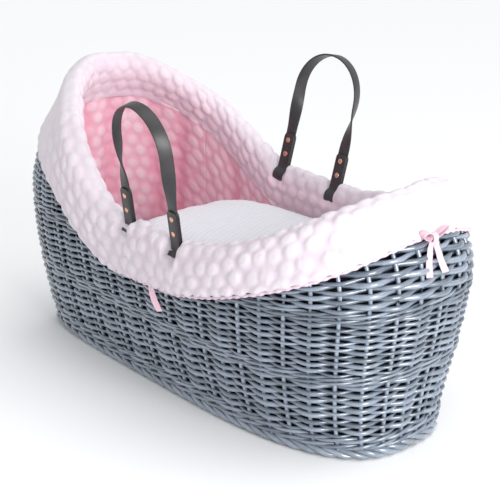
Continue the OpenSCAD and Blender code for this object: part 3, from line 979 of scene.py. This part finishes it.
def lining_panel(name, node, start_deg, end_deg, columns, rows_up, folds):
    """One padded panel of the lining, with its folds as (place along, width, depth, lean)."""
    places = np.linspace(place_at(start_deg), place_at(end_deg) + (STAKES if end_deg > 360 else 0), columns)
    if start_deg < 0:
        places = np.linspace(place_at(start_deg) - STAKES, place_at(end_deg), columns)
    a = angle_of(places)
    top = rim_at(a) - ROLL_INSIDE + 7
    share = np.linspace(0, 1, rows_up)[None, :]
    z = LINING_FOOT + (top[:, None] - LINING_FOOT) * share
    face = wall_point(z, a[:, None], LINING_FACE + 0.4)
    rear = wall_point(z, a[:, None], LINING_INSET + 0.6)
    toward = face - rear
    toward /= np.linalg.norm(toward, axis=2, keepdims=True)
    s = np.interp(np.mod(places, STAKES), roll_places, rim_run)[:, None] + 0 * z
    w = 352 + (top[:, None] - z)
    lift = bubbles(s, w, GIRTH, BUBBLE)
    run = (places - places[0]) / (places[-1] - places[0])
    # Painted shade: darker between the bubbles and deeper still in the folds.
    crease = 1 - lift
    puff = 3.6 * (lift - 0.45) + 1.2 * np.sin(s / 40 + w / 55)
    for at, width, depth, lean in folds:
        line = at + lean * (1 - share)
        dip = np.exp(-(((run[:, None] - line) * columns * COLUMN_STEP / width) ** 2))
        dip = dip * (0.35 + 0.65 * (1 - share) ** 0.5)
        puff = puff - depth * dip
        crease = crease + 0.9 * dip * depth / 8
    crease = np.minimum(crease, 1.6)
    face = face + toward * puff[:, :, None]
    rear = rear[:, ::-6]
    grid = np.concatenate([face, rear], axis=1)
    panel_shade_tint = np.concatenate([crease, np.ones(rear.shape[:2])], axis=1)
    n, m = grid.shape[:2]
    made = mesh_object(name, grid.reshape(-1, 3), capped_faces(n, m), crease=panel_shade_tint.reshape(-1))
    close_normals(made)
    piece(made, "basket", SHADED_COPY_PLUSH, "pink_plush", node)
    paint_rear_shade(made, m, rows_up, m - 1)


HEAD_FOLDS = [
    (0.12, 20, 12, 0.05),
    (0.27, 15, 10, -0.07),
    (0.43, 22, 13, 0.05),
    (0.57, 15, 11, -0.06),
    (0.7, 20, 13, 0.06),
    (0.86, 16, 11, -0.04),
]
SIDE_FOLDS = [(0.1, 18, 10, 0.05), (0.27, 15, 8, -0.04), (0.55, 20, 4, 0.03), (0.86, 18, 10, -0.03)]
lining_panel("head_lining_plush", "head_lining", 180 - LINING_SPLIT, 180 + LINING_SPLIT, 170, 112, HEAD_FOLDS)
lining_panel("near_lining_plush", "near_lining", 180 + LINING_SPLIT, 360 - LINING_SPLIT, 190, 70, SIDE_FOLDS)
lining_panel("far_lining_plush", "far_lining", LINING_SPLIT, 180 - LINING_SPLIT, 190, 70, SIDE_FOLDS)
lining_panel("foot_lining_plush", "foot_lining", -LINING_SPLIT, LINING_SPLIT, 170, 90, SIDE_FOLDS)

# Elastic hem: a tightly gathered cord of the same cloth under the roll
hem_bundle = Bundle()
hem_count = 1300
hem_places = np.arange(hem_count) * STAKES / hem_count
hem_angles = angle_of(hem_places)
hem_line = wall_point(rim_at(hem_angles) - skirt_at(hem_angles) - 1.4, hem_angles, -3.4)
GATHERS = 150
ruffle = 1 + 0.26 * np.sin(np.arange(hem_count) * 2 * math.pi * GATHERS / hem_count)
ruffle = ruffle + wander(hem_count, 0.12, True, 200)
hem_bundle.tube(hem_line, 2.7 * ruffle, 2.3 * ruffle, 10, True, 0.5)
hem = hem_bundle.build("gathered_hem")
# Painted shade: darker where the gathers dip in.
hem_shade_tint = hem.data.attributes.new("crease", "FLOAT", "POINT")
hem_shade_tint.data.foreach_set("value", np.repeat(1.2 - 0.6 * ruffle, 10).astype(np.float32))
piece(hem, "basket", HEM_PLUSH, "pink_plush", "elastic_hem")


# ---------------------------------------------------------------- ribbons

def ribbon(name, centre_line, side_line, width):
    """A thin ribbon along centre_line, its width along side_line, as one sheet of cloth."""
    steps = 7
    n = len(centre_line)
    share = np.linspace(-0.5, 0.5, steps)
    grid = centre_line[:, None, :] + side_line[:, None, :] * (share * width)[None, :, None]
    return mesh_object(name, grid.reshape(-1, 3), grid_faces(n, steps, False, False))


def side_tie(name, node, side):
    """A ribbon that hangs from the hem at one side, its end cut straight."""
    n = 30
    drop = np.linspace(0, 1, n)
    x = 36 + 15 * drop**1.3
    hem_z = float(rim_height(np.array(40.0))) - 62
    z = hem_z - 44 * drop
    y = np.empty(n)
    search = np.linspace(math.radians(60), math.radians(120), 600)
    for i in range(n):
        p = wall_point(z[i], search, -3.5 - 1.5 * math.sin(drop[i] * 3.1))
        y[i] = np.interp(x[i], p[::-1, 0], p[::-1, 1])
    line = np.stack([x, side * y, z], axis=1)
    twist = 0.5 * np.sin(drop * 2.5)
    across_line = np.stack([np.cos(twist), -side * np.sin(twist), 0.25 * np.ones(n)], axis=1)
    across_line /= np.linalg.norm(across_line, axis=1, keepdims=True)
    made = ribbon(name, line, across_line, 11)
    piece(made, "basket", RIBBON, "ribbon", node)


side_tie("near_tie_ribbon", "near_tie", -1)
side_tie("far_tie_ribbon", "far_tie", 1)

# Bow at the foot end
bow_z = RIM_FOOT - SKIRT_END - 6
bow_x = float(foot_reach(np.array(bow_z))) + 8.5 + 4
bow_parts = []
for side in (-1, 1):
    turn = np.linspace(0.0, 2 * math.pi, 33)
    reach_out = 15 + 11 * -np.cos(turn)
    rise = 9 + 6.5 * np.sin(turn) + reach_out * 0.35 - 8
    pinch = np.minimum(1, 0.35 + reach_out / 16)
    centre = np.stack([bow_x + 3.2 * np.sin(turn) + 1, side * reach_out, bow_z + rise], axis=1)
    width_line = np.stack([pinch, 0 * pinch, 0.25 * side * pinch], axis=1)
    bow_parts.append(ribbon("bow_loop", centre, width_line, 11))
    drop = np.linspace(0, 1, 26)
    z = bow_z - 54 * drop
    x = np.maximum(foot_reach(z) + 3.5, bow_x - 3 * drop) + 1.6 * np.sin(drop * 7)
    centre = np.stack([x, side * (2 + 15 * drop**0.9), z], axis=1)
    width_line = np.stack([0.25 + 0 * drop, 0.55 + 0.4 * drop, 0.1 * side + 0 * drop], axis=1)
    bow_parts.append(ribbon("bow_tail", centre, width_line, 12))
knot_turn = np.linspace(0, 2 * math.pi, 24, endpoint=False)
knot_wide = np.linspace(-1, 1, 11)
bulge = 1 + 0.22 * np.sqrt(1 - (knot_wide * 0.9) ** 2)
knot_grid = np.stack(
    [
        bow_x + 4.6 * bulge[None, :] * np.cos(knot_turn)[:, None] + 0.3 * np.sin(knot_wide * 9)[None, :],
        (5.0 * knot_wide)[None, :] + 0 * knot_turn[:, None],
        bow_z + 5.4 * bulge[None, :] * np.sin(knot_turn)[:, None],
    ],
    axis=-1,
)
bow_parts.append(mesh_object("bow_knot", knot_grid.reshape(-1, 3), grid_faces(24, 11, True, False)))
for k, part in enumerate(bow_parts):
    part.name = f"foot_bow_{k}"
    firm = part.modifiers.new("ply", "SOLIDIFY")
    firm.thickness = 0.0007
    piece(part, "basket", RIBBON, "ribbon", "foot_bow")


# ---------------------------------------------------------------- bedding

def bedding_block(reach_foot, reach_head, half, low, top, crown, n=150):
    """A soft block whose plan is reach by half, with rounded edges and a crowned top."""
    a = np.linspace(0, 2 * math.pi, n, endpoint=False)
    rings = []
    for z_share in np.linspace(0, 1, 22):
        z = low + (top - low) * z_share
        side_in = 10 * np.exp(-((z - low) / 9)) + 16 * np.exp(-((top - z) / 12))
        x, y = outline(a, reach_foot(z) - side_in, reach_head - side_in, half(z) - side_in, 2.9, 3.2, EGG)
        rings.append(np.stack([x, y, np.full(n, z)], axis=1))
    last = rings[-1]
    middle = last.mean(axis=0)
    for share in np.linspace(0.94, 0.02, 40):
        ring = middle + (last - middle) * share
        ring[:, 2] = top + crown * (1 - share**2.6)
        rings.append(ring)
    points = np.concatenate(rings)
    faces = grid_faces(len(rings), n, False, True)
    faces.append(list(range(n - 1, -1, -1)))
    start = (len(rings) - 1) * n
    faces.append(list(range(start, start + n)))
    return points, faces


def cover_reach(z):
    below = foot_reach(z) - LINING_FACE - 4
    return np.minimum(below, float(foot_reach(np.array(RIM_FOOT))) - ROLL_FACE - 7)


def cover_half(z):
    return np.minimum(half_width(z) - LINING_FACE - 4, float(half_width(np.array(RIM_SIDE))) - ROLL_FACE - 7)


PLUMP_FRAMES = 20


def plumped(obj, voxel, cap):
    """Blows the cover of a pad up a little with the cloth solver, so that it bulges between its edges."""
    remesh = obj.modifiers.new("even_cloth", "REMESH")
    remesh.mode = "VOXEL"
    remesh.voxel_size = voxel * MM
    apply_all(obj)
    before = coordinates(obj)
    cloth = obj.modifiers.new("cloth", "CLOTH")
    cloth.settings.quality = 4
    cloth.settings.mass = 0.2
    cloth.settings.use_pressure = True
    cloth.settings.uniform_pressure_force = 4
    cloth.settings.effector_weights.gravity = 0
    cloth.point_cache.frame_start = 1
    cloth.point_cache.frame_end = PLUMP_FRAMES
    for step in range(1, PLUMP_FRAMES + 1):
        bpy.context.scene.frame_set(step)
    apply_all(obj)
    bpy.context.scene.frame_set(1)
    moved = coordinates(obj) - before
    far = np.linalg.norm(moved, axis=1, keepdims=True)
    moved *= np.minimum(1, cap / np.maximum(far, 1e-6))
    obj.data.vertices.foreach_set("co", ((before + moved) * MM).ravel())
    obj.data.update()
    finer = obj.modifiers.new("finer", "SUBSURF")
    finer.levels = 1
    apply_all(obj)
    obj.data.shade_smooth()


def coordinates(obj):
    """Corner points of an object's mesh, in millimetres."""
    flat = np.empty(len(obj.data.vertices) * 3)
    obj.data.vertices.foreach_get("co", flat)
    return flat.reshape(-1, 3) / MM


def apply_all(obj):
    """Bakes an object's modifiers into its mesh."""
    seen = obj.evaluated_get(bpy.context.evaluated_depsgraph_get())
    baked = bpy.data.meshes.new_from_object(seen)
    old = obj.data
    obj.modifiers.clear()
    obj.data = baked
    baked.name = old.name
    bpy.data.meshes.remove(old)


points, faces = bedding_block(cover_reach, 160, cover_half, MATTRESS_TOP + 0.4, COVERLET_TOP - 10, 13)
cover = mesh_object("coverlet_fleece", points, faces)
close_normals(cover)
plumped(cover, 6, 5)
piece(cover, "coverlet_body", FLEECE, "ribbed_fleece", "coverlet")

points, faces = bedding_block(
    lambda z: foot_reach(np.array(LINING_FOOT)) - LINING_FACE - 4,
    float(head_reach(np.array(LINING_FOOT))) - LINING_FACE - 4,
    lambda z: half_width(np.array(LINING_FOOT)) - LINING_FACE - 4,
    LINING_FOOT + 0.4,
    MATTRESS_TOP - 2,
    1.6,
)
pad = mesh_object("mattress_pad", points, faces)
close_normals(pad)
plumped(pad, 8, 3)
piece(pad, "mattress_body", FLEECE, "mattress_cover", "mattress")


RIB_PITCH = 10
RIB_HEIGHT = 0.5


def add_crease(obj, values):
    layer = obj.data.attributes.new("crease", "FLOAT", "POINT")
    layer.data.foreach_set("value", np.asarray(values, dtype=np.float32))


for soft in (cover, pad):
    at = coordinates(soft)
    wave = np.sin((at[:, 0] + 0.35 * at[:, 1]) * 2 * math.pi / RIB_PITCH)
    at[:, 2] += np.where(at[:, 2] > at[:, 2].mean(), RIB_HEIGHT * wave, 0)
    soft.data.vertices.foreach_set("co", (at * MM).ravel())
    soft.data.update()
    # Painted shade: darker in the valleys between the ribs.
    add_crease(soft, clamp01(0.5 - 0.5 * wave))


# ---------------------------------------------------------------- handles

# Degrees each handle leans out at rest, and how far its loops hang below the hinge line
HANDLE_LEAN = {"near": 9, "far": 11}
TAB_DROP = {"near": 2.6, "far": 0.6}


def handle_frame(key):
    """Origin and axes of a handle at rest: along the hinge line, across it and up the handle."""
    side = HANDLES[key][1]
    joint = next(j for j in frame["record"]["behaviour"]["joints"] if j["name"] == f"{key}_handle_swing")
    origin = np.array(joint["pos_m"]) / MM
    line = np.array(joint["axis"], dtype=float)
    line = line * np.sign(line[0])
    # up is square to the hinge line, in the upright plane that holds it
    flat = np.array([line[0], line[1], 0.0])
    flat /= np.linalg.norm(flat)
    up = np.array([0, 0, 1.0]) - line * line[2]
    up /= np.linalg.norm(up)
    across_line = np.cross(up, line)
    lean = math.radians(HANDLE_LEAN[key]) * side
    tall = up * math.cos(lean) + across_line * math.sin(lean)
    return origin, line, np.cross(tall, line), tall


def strap_path():
    """Middle line of the strap as along, up and twist in degrees."""
    h = LOOP_SPACING / 2
    leg_top = HANDLE_HEIGHT - h - 6
    r = h + 2
    legs = []
    for side, shares in ((-1, np.linspace(0.05, 0.95, 12)), (1, np.linspace(0.95, 0.05, 12))):
        legs.append(
            [
                (
                    side * (h + 2 * ease(u)),
                    TAB_HEIGHT + 4 + (leg_top - TAB_HEIGHT - 4) * u,
                    70 * float(ease(u)),
                )
                for u in shares
            ]
        )
    arch = [
        (
            -r * math.cos(q),
            leg_top + (HANDLE_HEIGHT - leg_top) * math.sin(q),
            90 - 20 * abs(math.degrees(q) - 90) / 90,
        )
        for q in np.radians(np.arange(0, 181, 6))
    ]
    foot = [(-h, 15, 0), (-h, 40, 0), (-h, 62, 0), (-h, 72, 0)]
    path = foot + legs[0] + arch + legs[1] + [(-p[0], p[1], p[2]) for p in foot[::-1]]
    return np.array(path, dtype=float)


def place_in(handle, local):
    origin, line, across_line, tall = handle
    local = np.asarray(local, dtype=float)
    return origin + local[..., :1] * line + local[..., 1:2] * across_line + local[..., 2:3] * tall


def rounded_bar(width, thickness, corner=1.1):
    """Section of a strap with rounded edges, as offsets across its width and its thickness."""
    w = width / 2
    t = thickness / 2
    shape = []
    corners = (
        (w - corner, t - corner, 0),
        (-w + corner, t - corner, 90),
        (-w + corner, -t + corner, 180),
        (w - corner, -t + corner, 270),
    )
    for cx, cy, start in corners:
        for q in (0, 30, 60, 90):
            turn = math.radians(start + q)
            shape.append((cx + corner * math.cos(turn), cy + corner * math.sin(turn)))
    return np.array(shape)


def strap_mesh(name, key):
    handle = handle_frame(key)
    flip = -1 if key == "near" else 1
    path = strap_path()
    even = 220
    run = np.concatenate([[0], np.cumsum(np.hypot(np.diff(path[:, 0]), np.diff(path[:, 1])))])
    for _ in range(2):
        at = np.linspace(0, run[-1], even)
        path = np.stack([np.interp(at, run, path[:, k]) for k in range(3)], axis=1)
        kernel = np.array([1, 2, 3, 2, 1]) / 9
        padded_path = np.pad(path, ((2, 2), (0, 0)), mode="edge")
        smooth = np.stack([np.convolve(padded_path[:, k], kernel, mode="valid") for k in range(3)], axis=1)
        smooth[0], smooth[-1] = path[0], path[-1]
        path = smooth
        run = np.concatenate([[0], np.cumsum(np.hypot(np.diff(path[:, 0]), np.diff(path[:, 1])))])
    tangent = np.gradient(path[:, :2], axis=0)
    tangent /= np.linalg.norm(tangent, axis=1, keepdims=True)
    twist = np.radians(path[:, 2])
    tx, tz = tangent[:, 0], tangent[:, 1]
    wide = np.stack([tz * np.cos(twist), flip * np.sin(twist), -tx * np.cos(twist)], axis=1)
    thin = np.stack([tz * np.sin(twist), -flip * np.cos(twist), -tx * np.sin(twist)], axis=1)
    section = rounded_bar(STRAP_WIDTH - 0.6, STRAP_THICKNESS)
    middle = np.stack([path[:, 0], np.zeros(even), path[:, 1]], axis=1)
    grid = middle[:, None, :] + section[None, :, :1] * wide[:, None, :]
    grid = grid + section[None, :, 1:] * thin[:, None, :]
    made = mesh_object(name, place_in(handle, grid).reshape(-1, 3), capped_faces(*grid.shape[:2]))
    close_normals(made)
    made.modifiers.new("edges", "EDGE_SPLIT").split_angle = math.radians(50)
    return made


def tab_meshes(key):
    """The two folded tabs of a handle, each one strip bent round the border."""
    handle = handle_frame(key)
    body = f"{key}_handle"
    inner = STRAP_THICKNESS / 2 + 0.2
    ply = TAB_PLY
    r = BORDER_R + 3.6 + ply / 2
    drop = TAB_DROP[key]
    for k, end in enumerate((-1, 1)):
        half_ply = inner + ply / 2
        start = math.asin(half_ply / r)
        turn = np.linspace(start, 2 * math.pi - start, 60)
        loop = np.stack([r * np.sin(turn), r * np.cos(turn) - drop], axis=1)
        up_a = np.stack([np.full(16, half_ply), np.linspace(TAB_HEIGHT - 0.5, r - drop + 2.5, 16)], axis=1)
        up_b = np.stack([np.full(16, -half_ply), np.linspace(r - drop + 2.5, TAB_HEIGHT - 0.5, 16)], axis=1)
        line = np.concatenate([up_a, loop, up_b])
        for _ in range(3):
            line[1:-1] = line[1:-1] * 0.5 + 0.25 * (line[:-2] + line[2:])
        tangent = np.gradient(line, axis=0)
        tangent /= np.linalg.norm(tangent, axis=1, keepdims=True)
        normal = np.stack([tangent[:, 1], -tangent[:, 0]], axis=1)
        section = rounded_bar(STRAP_WIDTH, ply, 0.8)
        # the ends of the strip are trimmed to a blunt point
        from_end = np.minimum(np.arange(len(line)), np.arange(len(line))[::-1])
        narrow = np.where(from_end == 0, 0.62, np.where(from_end == 1, 0.92, 1.0))
        y = line[:, None, 0] + section[None, :, 1] * normal[:, None, 0]
        z = line[:, None, 1] + section[None, :, 1] * normal[:, None, 1]
        x = end * LOOP_SPACING / 2 + section[None, :, 0] * narrow[:, None]
        grid = np.stack([x + 0 * y, y, z], axis=-1)
        tab_points = place_in(handle, grid).reshape(-1, 3)
        tab = mesh_object(f"{key}_tab_{k}", tab_points, capped_faces(*grid.shape[:2]))
        close_normals(tab)
        tab.modifiers.new("edges", "EDGE_SPLIT").split_angle = math.radians(50)
        piece(tab, body, LEATHER, "dark_leather", f"{key}_handle_tabs")


def turned(handle, centre, profile, name, segments=28):
    """A turned part about the axis across the handle; profile is radius and distance out."""
    turn = np.arange(segments) * 2 * math.pi / segments
    profile = np.array(profile)
    x = centre[0] + profile[:, None, 0] * np.cos(turn)
    z = centre[2] + profile[:, None, 0] * np.sin(turn)
    y = centre[1] + profile[:, None, 1] + 0 * turn
    grid = np.stack([x, y, z], axis=-1)
    made = mesh_object(name, place_in(handle, grid).reshape(-1, 3), capped_faces(*grid.shape[:2]))
    close_normals(made)
    return made


def rivets(key):
    handle = handle_frame(key)
    out = STRAP_THICKNESS / 2 + 0.2 + TAB_PLY
    head = [(4.5, 0.0), (4.6, 0.35), (4.2, 0.8), (3.2, 1.15), (1.8, 1.35), (1.2, 1.2), (0.4, 1.1)]
    count = 0
    for end in (-1, 1):
        for up in (RIVET_LOW, RIVET_HIGH):
            profile = [(r, out + d) for r, d in head]
            profile = [(r, -d) for r, d in profile[::-1]] + [(2.0, -out), (2.0, out)] + profile
            made = turned(handle, (end * LOOP_SPACING / 2, 0, up), profile, f"{key}_rivet_{count}")
            piece(made, f"{key}_handle", PINK_REFLECTION_METAL, "copper_rivet", f"{key}_handle_rivets")
            count += 1


def stitches(key):
    """Small stitches along both edges of a tab's outer ply."""
    handle = handle_frame(key)
    bundle = Bundle()
    out = STRAP_THICKNESS / 2 + 0.2 + TAB_PLY + 0.15
    for end in (-1, 1):
        for face in (-1, 1):
            for edge in (-1, 1):
                x = end * LOOP_SPACING / 2 + edge * (STRAP_WIDTH / 2 - 2.4)
                for z in np.arange(26, TAB_HEIGHT - 5, 4.6):
                    line = np.array(
                        [
                            [x, face * (out - 0.3), z],
                            [x, face * out, z + 0.8],
                            [x, face * out, z + 2.2],
                            [x, face * (out - 0.3), z + 3.0],
                        ]
                    )
                    bundle.tube(place_in(handle, line), 0.35, 0.35, 6, False, 0.5)
    made = bundle.build(f"{key}_stitches")
    piece(made, f"{key}_handle", LEATHER_EDGE, "dark_leather", f"{key}_handle_tabs")


for key in HANDLES:
    piece(strap_mesh(f"{key}_strap", key), f"{key}_handle", LEATHER, "dark_leather", f"{key}_handle_strap")
    tab_meshes(key)
    rivets(key)
    stitches(key)


# ---------------------------------------------------------------- floor, light and camera

def stage_floor():
    size = 14.0
    points = [(-size, -size, 0), (size, -size, 0), (size, size, 0), (-size, size, 0)]
    mesh = bpy.data.meshes.new("floor")
    mesh.from_pydata(points, [], [(0, 1, 2, 3)])
    floor = bpy.data.objects.new("floor", mesh)
    bpy.context.scene.collection.objects.link(floor)
    finish = bpy.data.materials.new("floor_paper")
    finish.use_nodes = True
    shader = finish.node_tree.nodes["Principled BSDF"]
    shader.inputs["Base Color"].default_value = (0.93, 0.93, 0.935, 1)
    shader.inputs["Roughness"].default_value = 0.9
    shader.inputs["Specular IOR Level"].default_value = 0.1
    floor.data.materials.append(finish)
    floor.location.z = float(cad_bounds[0][2]) - 0.0005


def area_light(name, where, target, size, power, colour=(1, 1, 1)):
    data = bpy.data.lights.new(name, "AREA")
    data.shape = "RECTANGLE"
    data.size, data.size_y = size
    data.energy = power
    data.color = colour
    lamp = bpy.data.objects.new(name, data)
    bpy.context.scene.collection.objects.link(lamp)
    lamp.location = where
    lamp.rotation_euler = (Vector(target) - Vector(where)).to_track_quat("-Z", "Y").to_euler()


stage_floor()
world = bpy.data.worlds.new("studio")
world.use_nodes = True
world.node_tree.nodes["Background"].inputs["Color"].default_value = (0.97, 0.985, 1.0, 1)
world.node_tree.nodes["Background"].inputs["Strength"].default_value = 0.72
bpy.context.scene.world = world
area_light("key", (2.8, -0.45, 1.0), (0, 0, 0.2), (1.3, 1.1), 62)
sky_data = bpy.data.lights.new("sky", "SUN")
sky_data.energy = 1.0
sky_data.angle = math.radians(60)
sky = bpy.data.objects.new("sky", sky_data)
sky.rotation_euler = (math.radians(-16), math.radians(14), 0)
bpy.context.scene.collection.objects.link(sky)
bpy.context.scene.view_settings.view_transform = "Standard"


def set_camera():
    data = bpy.data.cameras.new("camera")
    data.lens = 99.3
    data.sensor_width = 36
    data.clip_end = 60
    camera = bpy.data.objects.new("camera", data)
    bpy.context.scene.collection.objects.link(camera)
    forward = Vector((-0.7084, 0.6181, -0.3409)).normalized()
    level = forward.cross(Vector((0, 0, 1))).normalized()
    above = level.cross(forward)
    roll = math.radians(-0.525)
    right = level * math.cos(roll) + above * math.sin(roll)
    up = -level * math.sin(roll) + above * math.cos(roll)
    turn = Matrix((right, up, -forward)).transposed()
    camera.matrix_world = Matrix.Translation((1.6493, -1.4006, 0.9943)) @ turn.to_4x4()
    bpy.context.scene.camera = camera


set_camera()

bpy.context.view_layer.update()
